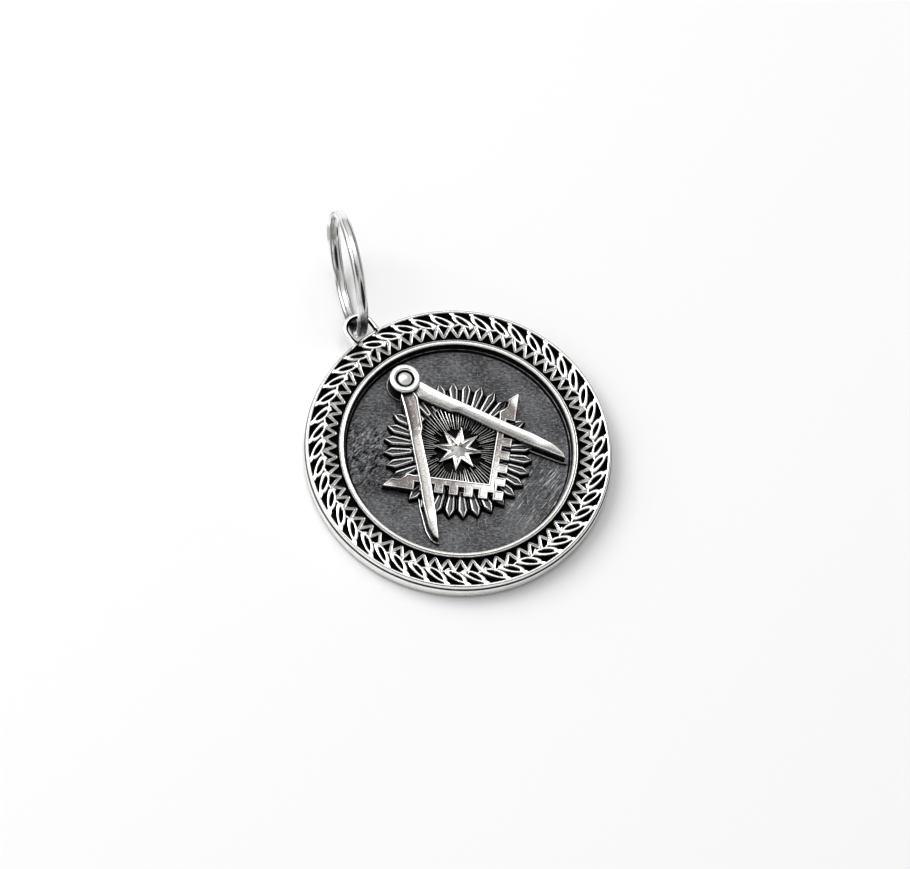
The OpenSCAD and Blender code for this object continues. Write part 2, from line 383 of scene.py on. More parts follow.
def worn_silver(name, low, high, tone=silver_white, roughness=0.16, stain=0.25, scratch=0.004, pits=0.5):
    """Silver that is black below one height and bright above another."""
    work = Finish(name)
    cloud = work.grain(0.9, 3)
    fine = work.grain(9.0, 4, shift=3.0)
    uneven = work.calc("MULTIPLY_ADD", cloud, (high - low) * 1.2, -(high - low) * 0.6)
    level = work.calc("ADD", work.height, uneven)
    rubbed = work.ramp(level, low, high)
    speck = work.ramp(fine, 0.36, 0.44, 1.0 - pits, 1.0)
    rubbed = work.calc("MULTIPLY", rubbed, speck)
    tarnish = work.ramp(cloud, 0.35, 0.75, 0.0, stain)
    metal = work.blend(tarnish, tone, tuple(c * t for c, t in zip(tone, brown_cast)))
    colour = work.blend(rubbed, sulphide, metal)
    hair_a = work.grain(7.0, 2, (0.12, 2.2, 1), 23)
    hair_b = work.grain(7.0, 2, (2.2, 0.14, 1), -31, shift=5.0)
    hairs = work.calc("ADD", hair_a, hair_b)
    rough = work.ramp(work.calc("ADD", hairs, cloud), 1.1, 1.9, roughness * 0.7, roughness * 1.6, "LINEAR")
    rough = work.calc("ADD", rough, work.ramp(rubbed, 0.0, 1.0, 0.25, 0.0))
    bumps = work.relief(hairs, scratch)
    bumps = work.relief(work.grain(3.0, 3, shift=8.0), 0.012, bumps)
    return work.done(colour, rough, bumps)


rim_silver = worn_silver("rim_silver", 0.1, 0.25, roughness=0.17, stain=0.3, pits=0.25)
groove_silver = worn_silver("groove_silver", -1.0, -0.9, (0.07, 0.066, 0.062), roughness=0.45, stain=0.5)
border_silver = worn_silver("border_silver", 1.7, 1.93, roughness=0.2, stain=0.15, pits=0.15)
ring_silver = worn_silver("ring_silver", 1.92, 2.12, (0.9, 0.89, 0.87), roughness=0.2, stain=0.3, pits=0.3)
ring_foot_silver = worn_silver("foot_silver", 1.17, 1.26, (0.5, 0.5, 0.5), roughness=0.3, stain=0.6, pits=1.0)
back_silver = worn_silver("back_silver", -0.5, -0.2, roughness=0.3, stain=0.5, pits=0.3, scratch=0.01)
print("Worn silver made for the rim, its groove, the border, the ring, the ring's foot and the back")

# %% [markdown]
# ## The black of the hollows
#
# The channel under the border keeps its whole coat of sulphide, so it is nearly black. Only slow clouds
# of dark grey keep it from looking like a hole in the picture.

# %% Make the black coat
def black_coat(name):
    """Sulphide that no cloth reached."""
    work = Finish(name)
    cloud = work.grain(2.5, 4)
    colour = work.blend(work.ramp(cloud, 0.45, 0.8), sulphide, (0.03, 0.03, 0.032))
    return work.done(colour, work.ramp(cloud, 0.3, 0.7, 0.5, 0.75), work.relief(cloud, 0.02))


channel_black = black_coat("channel_black")
print("Black coat made")

# %% [markdown]
# ## The brushed field
#
# The sunk field was brushed after blackening, so it is dark grey satin. Slow clouds and a fine grain make
# the satin. On the left a patch of small black pits and cuts shows, with a few bright sparks above it.
# Diagonal brush marks lie on the lower right, some bright and some black. Thin pale hairs cross the
# whole field in three directions. Each kind of mark is one noise, cut off at a level and kept to its
# patch, because marks that are everywhere look like a fabric and not like wear.

# %% Make the brushed field
field_floor = 0.9


def brushed_field(name):
    """Dark satin with pits at the left, brush marks at the lower right and crossing hairs."""
    work = Finish(name)

    def patch(marks, low, high, x, y, radius):
        """Marks above a level, kept to a round patch of the field."""
        return work.calc("MULTIPLY", work.ramp(marks, low, high), work.near(x, y, field_floor, radius))

    cloud = work.grain(0.3, 4, shift=2.0)
    fine = work.grain(4.2, 4, (0.6, 1.3, 1), 36, shift=1.0, roughness=0.65)
    satin = work.blend(work.ramp(cloud, 0.35, 0.68), (0.05, 0.051, 0.055), (0.105, 0.107, 0.113))
    satin = work.blend(work.ramp(fine, 0.5, 0.64, 0.0, 0.52), satin, (0.25, 0.25, 0.255))
    satin = work.blend(work.ramp(fine, 0.47, 0.36, 0.0, 0.52), satin, (0.012, 0.012, 0.014))
    cut = work.grain(4.4, 1.5, (0.5, 1.7, 1), -8, shift=4.0)
    brush = work.grain(6.0, 2, (0.15, 2.1, 1), -16, shift=7.0)
    pits = patch(cut, 0.56, 0.58, -8.0, 5.0, 5.4)
    sparks = patch(cut, 0.38, 0.34, -8.6, 6.6, 4.6)
    streaks = patch(brush, 0.6, 0.66, 4.6, -8.8, 6.0)
    dents = patch(brush, 0.4, 0.35, 5.4, -8.6, 4.4)
    colour = work.blend(pits, satin, (0.004, 0.004, 0.004))
    colour = work.blend(work.calc("MULTIPLY", sparks, 0.4), colour, (0.6, 0.6, 0.61))
    colour = work.blend(work.calc("MULTIPLY", streaks, 0.7), colour, (0.72, 0.72, 0.72))
    colour = work.blend(work.calc("MULTIPLY", dents, 0.8), colour, (0.006, 0.006, 0.006))
    for turn, shift in ((35, 11.0), (-52, 13.0), (80, 17.0)):
        hair = work.grain(5.0, 3, (0.2, 2.4, 1), turn, shift=shift)
        colour = work.blend(work.ramp(hair, 0.62, 0.7, 0.0, 0.45), colour, (0.36, 0.36, 0.36))
    rough = work.ramp(fine, 0.3, 0.7, 0.42, 0.26, "LINEAR")
    bumps = work.relief(work.calc("SUBTRACT", brush, pits), 0.04)
    return work.done(colour, rough, work.relief(fine, 0.05, bumps))


field_silver = brushed_field("field_silver")
print("Brushed field made")

# %% [markdown]
# ## The disc's profile
#
# The real disc is one casting that was finished on a lathe: a lower band, a fine groove, an upper band
# with a softened edge, the channel for the border, a raised ring, and the sunk field. A profile from the
# middle of the back over the rim and down into the field gives all of it. The ring is not one round bar:
# fine lines part it into three crests, and it has a small foot where it meets the field. Each point also
# says which finish starts there.

# %% Draw the disc's profile
disc_r, upper_r, channel_r, ring_r = 15.75, 15.61, 15.25, 12.25
channel_floor, rim_top = 1.3, 2.2
band, hollow, crest, black, sunk, under, ring_foot = range(7)
disc_profile = [
    ((0.0, 0.0), under),
    ((disc_r - 0.34, 0.0), under), ((disc_r - 0.12, 0.07), band), ((disc_r, 0.26), band),
    ((disc_r, 0.9), band), ((disc_r - 0.01, 1.5), band), ((disc_r - 0.04, 1.57), hollow),
    ((upper_r - 0.05, 1.60), hollow), ((upper_r - 0.05, 1.64), hollow), ((upper_r - 0.01, 1.68), band),
    ((upper_r, 1.78), band), ((upper_r, 2.0), band), ((upper_r - 0.04, 2.12), band),
    ((upper_r - 0.09, 2.18), band), ((upper_r - 0.13, 2.19), hollow), ((upper_r - 0.15, 2.165), hollow),
    ((upper_r - 0.18, rim_top), band), ((channel_r + 0.12, rim_top), band),
    ((channel_r + 0.05, 2.17), band), ((channel_r, 2.06), black), ((channel_r, 1.4), black),
    ((channel_r - 0.06, channel_floor), black), ((ring_r + 0.06, channel_floor), black),
    ((ring_r, 1.4), black), ((ring_r - 0.01, 1.95), crest), ((ring_r - 0.03, 2.08), crest),
    ((ring_r - 0.08, 2.13), crest), ((ring_r - 0.13, 2.12), crest), ((ring_r - 0.15, 2.0), crest),
    ((ring_r - 0.18, 2.0), crest), ((ring_r - 0.21, 2.12), crest), ((ring_r - 0.29, 2.15), crest),
    ((ring_r - 0.36, 2.14), crest), ((ring_r - 0.385, 2.09), crest), ((ring_r - 0.41, 2.14), crest),
    ((ring_r - 0.47, 2.15), crest), ((ring_r - 0.53, 2.1), crest), ((ring_r - 0.57, 1.98), crest),
    ((ring_r - 0.60, 1.8), black), ((ring_r - 0.64, 1.32), black), ((ring_r - 0.67, 1.22), ring_foot),
    ((ring_r - 0.72, 1.2), ring_foot), ((ring_r - 0.76, 1.14), black), ((ring_r - 0.82, 1.0), black),
    ((ring_r - 0.92, 0.93), sunk), ((ring_r - 1.02, field_floor), sunk),
]
print(len(disc_profile), "points from the back to the edge of the field")

# %% [markdown]
# ## Turning the disc
#
# The field gets many rings of points, because a hand-rubbed field is never flat, and its slow waves are
# what make the grey change across it. Slow waves carry small ripples. Only the field has them, and the
# turned edges stay true.

# %% Turn the disc
field_start = len(disc_profile) - 1
field_edge, field_step, field_rings = 11.1, 0.4, 27
wave_height, waves_per_mm, ripple_height, ripples_per_wave = 0.03, 0.45, 0.012, 3.1
disc_profile += [((field_edge - field_step * i, field_floor), sunk) for i in range(field_rings)]
disc_profile += [((0.0, field_floor), sunk)]


def field_wave(number, angle):
    """Slow waves over the field, nothing on the turned edges."""
    (radius, _), _ = disc_profile[number]
    if number <= field_start or radius == 0:
        return (0, 0)
    spot = Vector((radius * math.cos(angle), radius * math.sin(angle), 0.0)) * waves_per_mm
    ripple = ripple_height * noise.noise(spot * ripples_per_wave)
    return (0, wave_height * noise.noise(spot) + ripple)


disc = turn_profile(Shape(), [p for p, _ in disc_profile], [f for _, f in disc_profile], 360, field_wave)
disc_finishes = [rim_silver, groove_silver, ring_silver, channel_black, field_silver, back_silver,
                 ring_foot_silver]
make_piece("disc", disc, "medal", ["medal_body"], disc_finishes)

# %% [markdown]
# ## The eye
#
# A bent wire is soldered to the rim, and the bail hangs in it. The solder runs out in a small fillet
# where the wire meets the rim. A plain tube along the path would look glued on, so this one swells at
# both feet. The side toward the hole stays black: sulphide where no cloth gets in, and painted shade
# that darkens the hole.

# %% Bend the eye
eye_half, eye_wire, eye_top, eye_height = 1.45, 0.58, 18.15, 1.86
fillet_swell, fillet_length, eye_flat = 0.55, 0.55, 0.96
shank_step, bow_steps, wire_sides = 0.12, 40, 20
# Painted shade and sulphide: the wire's faces toward the hole stay black.
hole_side_sulphide_and_shade = range(6, 15)


def tube(path, radii, sides, finish, flat):
    """A bar along a path in space, with a radius for each point, flattened from above by a share."""
    rings, up = [], Vector((0, 0, 1))
    for i, centre in enumerate(path):
        before, after = path[max(i - 1, 0)], path[min(i + 1, len(path) - 1)]
        along = (Vector(after) - Vector(before)).normalized()
        side = along.cross(up).normalized()
        rings.append([
            tuple(Vector(centre) + radii[i] * (math.cos(a) * side + flat * math.sin(a) * up))
            for a in (2 * math.pi * k / sides for k in range(sides))
        ])
    return Shape().loft(rings, finish)


loop_y = eye_top - eye_half
shank = [(eye_half, upper_r - 0.5 + shank_step * i, eye_height) for i in range(13)]
shank = [p for p in shank if p[1] < loop_y]
bow = [(eye_half * math.cos(a), loop_y + eye_half * math.sin(a), eye_height)
       for a in (math.pi * k / bow_steps for k in range(bow_steps + 1))]
eye_path = shank + bow + [(-x, y, z) for x, y, z in reversed(shank)]
rim_edge = upper_r - 0.1
eye_radii = [eye_wire / 2 * (1 + fillet_swell * max(0.0, 1 - (y - rim_edge) / fillet_length) ** 2)
             for _, y, _ in eye_path]
eye = tube(eye_path, eye_radii, wire_sides, lambda span, side: 1 if side in hole_side_sulphide_and_shade else 0, eye_flat)
eye_silver = worn_silver("eye_silver", 1.4, 1.75, roughness=0.16, stain=0.3, pits=0.3)
make_piece("eye", eye, "medal", ["medal_body"], [eye_silver, channel_black])

# %% [markdown]
# ## The wires of the border
#
# Two rows of fine wire work fill the channel. On the real piece they are cast in one with the disc, from
# a wax that copied wire work. The outer row is 46 slanting leaves, each a loop of wire round a dark
# opening. A loop is skinned between an inner and an outer outline, both pointed ovals. That lets the wire
# be thicker at the leaf's ends, as it is when two wires are pinched together.

# %% Draw the leaf's two outlines and the wires' sections
leaves, leaf_start, leaf_r, leaf_slant = 46, 4.05, 14.3, math.radians(35)
border_top, wire_foot = 2.1, channel_floor - 0.02
leaf_points = 28


def leafwise(angle, along, across):
    """A point of a leaf: along its length toward its inner end, and across it."""
    c, s = math.cos(leaf_slant), math.sin(leaf_slant)
    return ringwise(angle, along * c + across * s, leaf_r - along * s + across * c)


def pointed_oval(half_length, half_width, point, lean=0.0, hook=0.0):
    """A lens with pointed ends. Lean fattens its sides at opposite ends, and hook bends its inner end."""
    ring = []
    for i in range(leaf_points):
        a = 2 * math.pi * i / leaf_points
        c, s = math.cos(a), math.sin(a)
        full = 1 + lean * c * math.copysign(1, s)
        bend = hook * max(0.0, c) ** 2
        ring.append((half_length * c, bend + half_width * full * math.copysign(abs(s) ** point, s)))
    return ring


lens_line = pointed_oval(0.82, 0.21, 1.1, hook=0.05)
leaf_line = pointed_oval(1.35, 0.475, 0.92, lean=0.3, hook=0.16)
loop_section = [(0.0, wire_foot), (0.0, 1.96), (0.09, 2.07), (0.26, border_top), (0.74, border_top),
                (0.91, 2.07), (1.0, 1.96), (1.0, wire_foot)]
link_wire = rounded(wire_foot, 2.09, 0.1, 6)
knot_wire = rounded(wire_foot, 2.15, 0.12, 6)
tab_wire = [(-1, wire_foot), (-1, 2.02), (-0.85, 2.085), (0.85, 2.085), (1, 2.02), (1, wire_foot)]
print("A leaf has", leaf_points, "points round each outline")

# %% [markdown]
# ## Laying the leaves
#
# Each leaf has three more wires. A flat tab ties its outer end to the rim, a raised knot closes its inner
# end, and a thin link runs from there to the row of teeth. No two leaves are quite alike, because each
# was bent by hand: turn, length, width and tab all vary a little. The tabs are also wider on one side of
# the medal. A computer's exact copies would be the first thing to look false here.

# %% Lay the leaves
wide_tabs_at = 190
tab_taper = [0.7, 0.75, 0.8, 0.85, 0.9, 1, 1.1, 1.3, 1.5, 1.8]
tab_w, knot_w, link_w = 0.38, 0.26, 0.22
border = Shape()


def by_hand(number, kind):
    """A small, settled unevenness between about -0.5 and 0.5, because each wire was bent by hand."""
    return noise.noise(Vector((number * 2.3 + 0.37, kind * 5.1 + 0.2, 1.7)))


for leaf in range(leaves):
    turn = leaf_start + leaf * 360 / leaves + 0.9 * by_hand(leaf, 0)
    longer, fatter = 1 + 0.08 * by_hand(leaf, 1), 1 + 0.22 * by_hand(leaf, 2)
    rings = []
    for inner, outer in zip(lens_line, leaf_line):
        ring = []
        for share, height in loop_section:
            along = (inner[0] + (outer[0] - inner[0]) * share) * longer
            across = inner[1] * fatter + (outer[1] - inner[1] * fatter) * share
            ring.append((*leafwise(turn, along, across), height))
        rings.append(ring)
    border.loft(rings, closed=True)
    tab = [leafwise(turn, -1.08, 0.0), leafwise(turn, -1.24, 0.03), ringwise(turn, -1.1, 15.14),
           ringwise(turn, -1.14, 15.3)]
    spread = max(0.0, math.cos(math.radians(turn - wide_tabs_at))) ** 2
    tab_width = tab_w * (1 + 0.4 * by_hand(leaf, 3) + 0.55 * spread)
    carry(border, smooth_path(tab), tab_width, tab_wire, taper=tab_taper)
    knot = [leafwise(turn, 1.04, -0.22), leafwise(turn, 1.2, 0.08), leafwise(turn, 1.16, 0.34)]
    carry(border, smooth_path(knot), knot_w, knot_wire)
    link = [leafwise(turn, 1.0, 0.1), leafwise(turn, 1.2, 0.2), ringwise(turn, 1.42, 13.84),
            ringwise(turn, 1.76, 13.95)]
    carry(border, smooth_path(link), link_w, link_wire)
print(leaves, "leaves laid")

# %% [markdown]
# ## The teeth of the border
#
# The inner row is 64 teeth, each one V of wire with a fine line down its middle. Its section therefore
# has two crests and a valley between them, and the black stays in that valley. The tips lean a little,
# one way or the other, and end just short of the raised ring. Toward them the wire gets thinner and
# lower, so the tips sink into the dark.

# %% Lay the teeth
teeth, tooth_start, tooth_w = 64, 2.38, 0.36
double_line = [(-1, wire_foot), (-1, 1.94), (-0.92, 2.05), (-0.68, 2.08), (-0.32, 2.05), (-0.08, 1.88),
               (0.08, 1.88), (0.32, 2.05), (0.68, 2.08), (0.92, 2.05), (1, 1.94), (1, wire_foot)]
sink_from, sink_length = 13.4, 0.8
half_step = math.pi / teeth
for tooth in range(teeth):
    turn = tooth_start + tooth * 360 / teeth
    lean, tip = 0.3 * by_hand(tooth, 4), 12.5 + 0.22 * abs(by_hand(tooth, 5))
    arm = [(-half_step * 13.9, 13.92), (-half_step * 13.3, 13.62), (-0.34 + 0.5 * lean, 13.15),
           (-0.15 + lean, tip + 0.22), (lean, tip), (0.15 + lean, tip + 0.22), (0.34 + 0.5 * lean, 13.15),
           (half_step * 13.3, 13.62), (half_step * 13.9, 13.92)]
    level_path = smooth_path(arm)
    path = [ringwise(turn, c, r) for c, r in level_path]
    depth = [min(1.0, max(0.0, (sink_from - r) / sink_length)) for _, r in level_path]
    carry(border, path, tooth_w, double_line,
          taper=[1 - 0.25 * d for d in depth], drop=[0.08 * d for d in depth])
make_piece("leaf_border", border, "medal", ["wreath_border"], [border_silver])

# %% [markdown]
# ## The rays of the sunburst
#
# Under the emblem lies a ring of 32 rays. Each ray is a bar with a pointed end, a bright edge line and a
# darker panel inside. It stands on a wide foot that stays black, and that foot draws the dark outline
# round the whole burst. The bars are terraced from one outline each, so the edge line is real relief and
# catches the light from every side. A thin wire lies in each gap.

# %% Raise the rays
rays, ray_tip, ray_notch, ray_inner, ray_w = 32, 7.75, 6.95, 4.7, 1.02
plate_sides, inner_share = 96, 0.84
pit, bright_line, panel, radial = range(4)
ray_steps = [(-0.32, 0.91), (-0.24, 1.0), (-0.1, 1.28), (-0.02, 1.4), (0.02, 1.52), (0.05, 1.58), (0.09, 1.6),
             (0.19, 1.59), (0.22, 1.55), (0.24, 1.42), (0.32, 1.44)]
ray_finishes = [pit] * 3 + [bright_line] * 6 + [panel]
gap_wire = rounded(1.05, 1.42, 0.06, 4)
burst = Shape()
plate_outline = [ringwise(i * 360 / plate_sides, 0, ray_notch - 0.25) for i in range(plate_sides)]
terrace(burst, plate_outline, [(0, field_floor), (0, 1.05), (0.05, 1.1)], pit)
for ray in range(rays):
    turn = ray * 360 / rays
    inner_w = ray_w * ray_inner / ray_notch * inner_share
    outline = [ringwise(turn, c, r) for c, r in (
        (inner_w / 2, ray_inner), (ray_w * 0.46, ray_notch - 0.12), (0.05, ray_tip - 0.16),
        (-0.05, ray_tip - 0.16), (-ray_w * 0.46, ray_notch - 0.12), (-inner_w / 2, ray_inner))]
    terrace(burst, outline, ray_steps, ray_finishes)
    gap_line = [ringwise(turn + 180 / rays, 0, r) for r in (4.3, 5.2, 6.0, 6.6)]
    carry(burst, gap_line, 0.08, gap_wire, finish=panel)
print(rays, "rays raised")

# %% [markdown]
# ## The ridges in the middle
#
# Fine radial ridges fill the middle of the burst, and were modelled one by one. So each starts, ends and
# rises a little differently. A ridge widens outward and tapers again just before its end.

# %% Lay the ridges
ridges, ridge_w, ridge_points = 80, 0.11, 6
ridge_taper = [0.5, 0.9, 1, 1.1, 1.2, 0.7]


def stray(number, pace, row):
    """How far one ridge strays from an even ring of ridges."""
    return noise.noise(Vector((number * pace, row, 0.0)))


for ridge in range(ridges):
    turn = (ridge + 0.5 + 0.3 * stray(ridge, 1.7, 8.1)) * 360 / ridges
    reach = 4.8 + 0.5 * stray(ridge, 0.7, 0.3)
    start = 2.5 + 0.9 * stray(ridge, 0.9, 4.3)
    top = 1.56 + 0.1 * stray(ridge, 1.3, 2.3)
    path = [ringwise(turn, 0, start + (reach - start) * i / (ridge_points - 1)) for i in range(ridge_points)]
    carry(burst, path, ridge_w, rounded(1.05, top, 0.08, 4), finish=radial, taper=ridge_taper)
print(ridges, "ridges laid")

# %% [markdown]
# ## Blackening the sunburst
#
# The burst lies deepest of the whole emblem, so it keeps the most black. The sides of the rays that face
# the upper left get painted light, and the sides that face the other way painted shade: the surface normal
# tells which these are. Where the set square lies over the burst its slots are too narrow for any cloth.
# The finish therefore measures how far a place lies inside the square's outer edge, and keeps that strip
# black.

# %% Blacken the sunburst
arm_slope, corner_y, arm_w = math.radians(43.5), 7.28, 1.67
# Painted light: sides of the rays that face this way are painted bright, and the others darker.
painted_light_side = (-0.14, 0.99, 0.0)


def inside_square(work):
    """How many millimetres a place lies inside the outer edge of the set square."""
    rise = work.calc("MULTIPLY", work.calc("ADD", work.y, corner_y), math.cos(arm_slope))
    return work.calc("MULTIPLY_ADD", work.calc("ABSOLUTE", work.x), -math.sin(arm_slope), rise)


def blackened_silver(name, low, high, dark, bright):
    """Black in the depth and in the square's slots. Sides that face the upper left get painted light, the
    others painted shade.
    """
    work = Finish(name)
    cloud = work.grain(1.4, 3)
    level = work.calc("ADD", work.height, work.calc("MULTIPLY_ADD", cloud, 0.1, -0.05))
    # Painted light and shade: how far a side faces the upper left decides how bright it is painted.
    facing_painted_light = work.add("VectorMath", {0: work.normal, 1: painted_light_side}, operation="DOT_PRODUCT")
    lit = work.ramp(facing_painted_light.outputs["Value"], -0.25, 0.2, 0.3, 1.0)
    rubbed = work.calc("MULTIPLY", work.ramp(level, low, high), lit)
    fine = work.grain(5.0, 3)
    rubbed = work.calc("MULTIPLY", rubbed, work.ramp(fine, 0.3, 0.5, 0.55, 1.0))
    inside = inside_square(work)
    covered = work.calc("MULTIPLY", work.ramp(inside, -0.15, 0.1), work.ramp(inside, arm_w + 0.3, arm_w))
    rubbed = work.calc("MULTIPLY", rubbed, work.ramp(covered, 0.0, 1.0, 1.0, 0.12))
    colour = work.blend(rubbed, dark, bright)
    return work.done(colour, work.ramp(fine, 0.3, 0.7, 0.2, 0.4, "LINEAR"), work.relief(fine, 0.01))


burst_black = blackened_silver("burst_black", 1.2, 1.7, (0.004, 0.004, 0.004), (0.05, 0.05, 0.05))
burst_line = blackened_silver("burst_line", 1.34, 1.46, (0.01, 0.01, 0.01), (0.92, 0.92, 0.91))
burst_panel = blackened_silver("burst_panel", 1.2, 1.5, (0.01, 0.01, 0.012), (0.11, 0.11, 0.115))
radial_silver = worn_silver("radial_silver", 1.46, 1.55, (0.8, 0.8, 0.79), roughness=0.2, stain=0.2, pits=0.3)
make_piece("sunburst_rays", burst, "medal", ["sunburst"],
           [burst_black, burst_line, burst_panel, radial_silver])

# %% [markdown]
# ## The set square
#
# The square is a flat bar bent to a corner, with slots cut into its outer edge and spear-shaped ends.
# The outline is the one of the CAD part, drawn for one arm and mirrored for the other. The terrace adds
# the bevel along the edge and the fine line inside it.

# %% Cut the square
slot_first, slot_pitch, slot_w, slot_d, corner_slot_d, slots = 1.03, 1.5, 0.54, 0.93, 0.76, 6
square_top = 1.95


def armwise(u, v):
    """A point of the square: u along the right arm from the outer corner, v inward."""
    c, s = math.cos(arm_slope), math.sin(arm_slope)
    return (u * c - v * s, -corner_y + u * s + v * c)


right_arm = [armwise(0, 0)]
for i in range(slots):
    u = slot_first + i * slot_pitch
    deep = slot_d if i else corner_slot_d
    right_arm += [armwise(u, 0), armwise(u, deep), armwise(u + slot_w, deep), armwise(u + slot_w, 0)]
spear = [(12.3, 0.1), (11.4, 1.1), (11.05, 1.02), (10.55, 1.08), (10.2, 1.4), (9.9, 1.75), (9.3, arm_w)]
right_arm += [armwise(u, v) for u, v in spear]
inner_corner = armwise(arm_w * math.tan(arm_slope), arm_w)
square_outline = right_arm + [inner_corner] + [(-x, y) for x, y in right_arm[:0:-1]]
square_steps = [(0, field_floor), (0, 1.86), (0.02, 1.92), (0.05, square_top), (0.12, square_top),
                (0.17, 1.92), (0.2, 1.91), (0.24, 1.91)]
square = terrace(Shape(), square_outline, square_steps)
print("The square's outline has", len(square_outline), "points")

# %% [markdown]
# ## Rubbing the square
#
# Flat tops are not polished like edges. They show the grain of the casting, and a brown tarnish that
# grows from the corner up the arms. The bright line runs along the inner edge, and is only a trace on the
# teeth, where the cloth ran over the whole face. The two spear tips are rubbed white, and the corner is
# rubbed a little. `rubbed` lists such places as x, y, radius and share.

# %% Rub the square
def warm_silver(name, low, high, edges, brown_range, pale, brown, mottle=1.5, rubbed=(), edge_share=None):
    """Rubbed silver with bright edges, a fine casting grain, and a brown tarnish that grows up the medal."""
    work = Finish(name)
    cloud = work.grain(0.8, 4)
    speck = work.grain(5.0, 4, shift=2.0, roughness=0.7)
    uneven = work.calc("MULTIPLY_ADD", cloud, 0.1, -0.05)
    level = work.calc("ADD", work.height, uneven)
    up = work.calc("ADD", work.y, work.calc("MULTIPLY_ADD", cloud, 4 * mottle, -2 * mottle))
    flat = work.blend(work.ramp(up, *brown_range), pale, brown)
    flat = work.blend(work.ramp(speck, 0.48, 0.36, 0.0, 0.5), flat, tuple(0.3 * c for c in pale))
    flat = work.blend(work.ramp(speck, 0.56, 0.7, 0.0, 0.3), flat, silver_white)
    for x, y, radius, share in rubbed:
        flat = work.blend(work.calc("MULTIPLY", work.near(x, y, high, radius), share), flat, silver_white)
    edge = work.ramp(work.height, *edges)
    if edge_share:
        edge = work.calc("MULTIPLY", edge, edge_share(work))
    top = work.blend(edge, flat, silver_white)
    colour = work.blend(work.ramp(level, low, high), sulphide, top)
    rough = work.ramp(speck, 0.3, 0.7, 0.36, 0.2, "LINEAR")
    bumps = work.relief(work.grain(5.0, 2, (0.15, 2.0, 1), 35), 0.004)
    return work.done(colour, rough, work.relief(speck, 0.02, bumps))


def inner_edge(work):
    """One along the square's inner edge, and less on its teeth, where the cloth ran over the whole face."""
    return work.ramp(inside_square(work), 1.2, 1.45, 0.25, 1.0)


square_rubs = [(9.6, 0.6, 2.4, 1.0), (-9.6, 0.6, 2.0, 1.0), (0.3, -6.6, 4.2, 0.3)]
square_silver = warm_silver("square_silver", 1.6, 1.86, (1.915, 1.94), (-6.5, -1.0), (0.46, 0.445, 0.43),
                            (0.13, 0.112, 0.106), 2.5, square_rubs, inner_edge)
make_piece("set_square", square, "medal", ["square"], [square_silver], crease=20)

# %% [markdown]
# ## The legs of the compasses
#
# Both legs run from a round head to a point, and one list of places along the outer edge and one along
# the inner edge draw them. A leg is a row of level sections between those two lines. Its stops lie close
# together, with extra ones where the edge bends, so that shoulder and point stay crisp. The right leg
# reaches a little further than the left, as on the real piece.

# %% Give the legs their edges
head_y, leg_top, leg_foot, point_y = 9.1, 2.45, 0.93, -7.05
left_reach, right_reach = 0.985, 1.015
outside = [(9.6, 0.2), (8.75, 0.6), (8.0, 1.32), (5.15, 2.6), (1.95, 4.25), (-1.25, 5.9), (-3.1, 6.95),
           (-5.5, 8.0), (-6.5, 8.16), (point_y, 8.0)]
inside = [(9.6, 0.0), (6.85, 0.0), (3.75, 1.74), (3.45, 2.12), (3.2, 2.36), (-0.8, 4.35), (-3.1, 5.6),
          (-4.8, 6.6), (-6.75, 7.8), (point_y, 8.0)]
bends = {8.6, 8.0, 6.85, 3.75, 3.45, 3.2, -6.5, -6.9, -7.04}
stops = sorted(bends | {8.4 - 0.3 * i for i in range(51)}, reverse=True)


def at_height(line, y):
    """The place across of a line of (up, across) points at one height."""
    for (ya, xa), (yb, xb) in zip(line, line[1:]):
        if yb <= y <= ya:
            return xa + (xb - xa) * (ya - y) / (ya - yb)
    return line[-1][1]


def leg(side, reach, section):
    """One leg as a row of level sections. section(y) gives (share across, height) from outside to inside."""
    rings = []
    for y in stops:
        far, near = at_height(outside, y), at_height(inside, y)
        rings.append([
            (side * (far + (near - far) * share) * reach, head_y + (y - head_y) * reach, height)
            for share, height in section(y)
        ])
    return Shape().loft(rings)


print(len(stops), "sections to a leg")

# %% [markdown]
# ## The sections of the two legs
#
# The left leg has a sunk panel with bright borders as far as a small shoulder, and below it only a fine
# bevel. The right leg is rubbed round over its whole length, and falls away toward its inner side. Both
# get thinner at the very point. So panel, shoulder and rounded top are only different heights in a list.

# %% Shape the legs
thin_from, thin_length, thin_drop = -5, 2.05, 0.35


def top_at(y):
    """The height of the leg's top, which drops toward the very point."""
    return leg_top - (0.0 if y > thin_from else thin_drop * (thin_from - y) / thin_length)


def panel_section(y):
    """Sunk panel above the shoulder, flat with a bevel below it."""
    drop, top = 0.04 + 0.1 * min(1.0, max(0.0, (y - 3.3) / 0.6)), top_at(y)
    return [(0, leg_foot), (0, top - 0.12), (0.02, top - 0.03), (0.06, top), (0.11, top - 0.01),
            (0.15, top - 0.02 - drop * 0.7), (0.2, top - 0.03 - drop), (0.5, top - 0.02 - drop),
            (0.8, top - 0.03 - drop), (0.85, top - 0.02 - drop * 0.7), (0.89, top - 0.01), (0.94, top),
            (0.98, top - 0.03), (1, top - 0.12), (1, leg_foot)]


def round_section(y):
    """Rubbed round over the whole width."""
    top = top_at(y)
    return [(0, leg_foot), (0, top - 0.2), (0.02, top - 0.08), (0.05, top - 0.02), (0.1, top), (0.2, top),
            (0.35, top - 0.015), (0.5, top - 0.035), (0.7, top - 0.075), (0.86, top - 0.13),
            (0.94, top - 0.19), (0.98, top - 0.28), (1, top - 0.4), (1, leg_foot)]


left_leg = leg(-1, left_reach, panel_section)
right_leg = leg(1, right_reach, round_section)
print("Two legs, each of", len(left_leg.points), "and", len(right_leg.points), "points")

